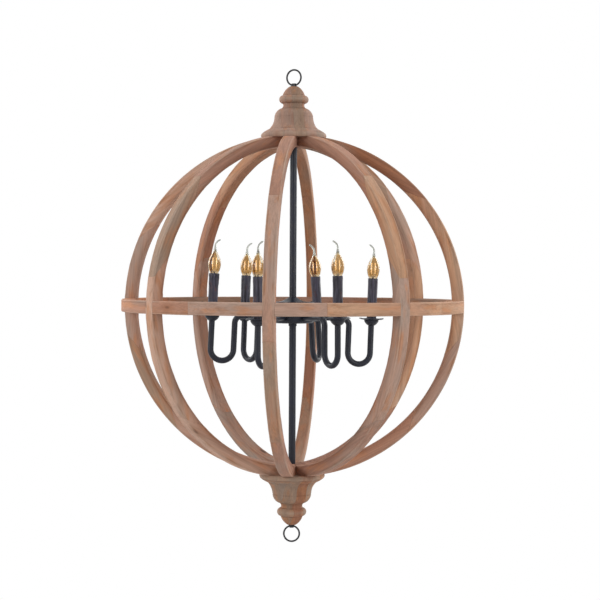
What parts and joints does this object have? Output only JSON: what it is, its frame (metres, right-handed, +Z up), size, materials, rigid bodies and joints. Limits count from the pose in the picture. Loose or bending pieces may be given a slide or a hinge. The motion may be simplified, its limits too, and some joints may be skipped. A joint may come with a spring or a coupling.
{
  "type": "orb chandelier",
  "caption": "Open globe of wooden ribs on a wooden equator ring between turned finials, with bent iron candle arms on a drum hub and a ring at each pole.",
  "frame": {"origin": "the hang point: the inside of the top ring at its highest point, where a hook bears", "axes": "+Z straight up along the lamp, -Y the front that the picture shows from 7 degrees to the right"},
  "size_m": [0.9198, 0.9198, 1.276],
  "materials": {
    "weathered_wood": "weathered and waxed, matt, grain along each piece",
    "black_iron": "satin black",
    "candle_black": "dark moulded wax drips, low gloss",
    "amber_glass": "clear amber",
    "bulb_metal": "nickel",
    "holder_black": "moulded black",
    "wire_insulation": "black cable sheath",
    "fastener_steel": "dark steel"
  },
  "bodies": {
    "frame": {"arm_1": "black_iron", "arm_2": "black_iron", "arm_3": "black_iron", "arm_4": "black_iron", "arm_5": "black_iron", "arm_6": "black_iron", "bottom_block": "weathered_wood", "bottom_eye": "black_iron", "bottom_finial": "weathered_wood", "cup_1": "black_iron", "cup_2": "black_iron", "cup_3": "black_iron", "cup_4": "black_iron", "cup_5": "black_iron", "cup_6": "black_iron", "equator_ring": "weathered_wood", "hub_body": "black_iron", "hub_cover": "black_iron", "hub_nuts": "fastener_steel", "lampholders": "holder_black", "pan_1": "black_iron", "pan_2": "black_iron", "pan_3": "black_iron", "pan_4": "black_iron", "pan_5": "black_iron", "pan_6": "black_iron", "rib_1": "weathered_wood", "rib_2": "weathered_wood", "rib_3": "weathered_wood", "rib_4": "weathered_wood", "rib_5": "weathered_wood", "rib_6": "weathered_wood", "rib_7": "weathered_wood", "rib_8": "weathered_wood", "sleeve_1": "candle_black", "sleeve_2": "candle_black", "sleeve_3": "candle_black", "sleeve_4": "candle_black", "sleeve_5": "candle_black", "sleeve_6": "candle_black", "stem": "black_iron", "top_block": "weathered_wood", "top_eye": "black_iron", "top_finial": "weathered_wood", "wiring": "wire_insulation", "wood_screws": "fastener_steel"},
    "top_link": {"top_ring": "black_iron"},
    "bottom_link": {"bottom_ring": "black_iron"},
    "bulb_1": {"bulb_glass_1": "amber_glass", "bulb_core_1": "bulb_metal"},
    "bulb_2": {"bulb_glass_2": "amber_glass", "bulb_core_2": "bulb_metal"},
    "bulb_3": {"bulb_glass_3": "amber_glass", "bulb_core_3": "bulb_metal"},
    "bulb_4": {"bulb_glass_4": "amber_glass", "bulb_core_4": "bulb_metal"},
    "bulb_5": {"bulb_glass_5": "amber_glass", "bulb_core_5": "bulb_metal"},
    "bulb_6": {"bulb_glass_6": "amber_glass", "bulb_core_6": "bulb_metal"}
  },
  "joints": [
    {"name": "top_ring_swing", "type": "hinge", "parent": "frame", "child": "top_link", "pos_m": [0, 0, -0.03893], "axis": [0.9511, -0.309, 0], "range_deg": [-100, 100]},
    {"name": "bottom_ring_swing", "type": "hinge", "parent": "frame", "child": "bottom_link", "pos_m": [0, 0, -1.22748], "axis": [0.9925, 0.1219, 0], "range_deg": [-100, 100]},
    {"name": "bulb_1_lift", "type": "slide", "parent": "frame", "child": "bulb_1", "axis": [-0.0067, 0.008, 0.9999], "range_m": [0, 0.035]},
    {"name": "bulb_2_lift", "type": "slide", "parent": "frame", "child": "bulb_2", "axis": [0.0344, 0.0061, 0.9994], "range_m": [0, 0.035]},
    {"name": "bulb_3_lift", "type": "slide", "parent": "frame", "child": "bulb_3", "axis": [-0.0649, 0.0291, 0.9975], "range_m": [0, 0.035]},
    {"name": "bulb_4_lift", "type": "slide", "parent": "frame", "child": "bulb_4", "axis": [0.0281, 0.0287, 0.9992], "range_m": [0, 0.035]},
    {"name": "bulb_5_lift", "type": "slide", "parent": "frame", "child": "bulb_5", "axis": [0.0412, 0.0073, 0.9991], "range_m": [0, 0.035]},
    {"name": "bulb_6_lift", "type": "slide", "parent": "frame", "child": "bulb_6", "axis": [-0.0015, -0.005, 1], "range_m": [0, 0.035]}
  ]
}
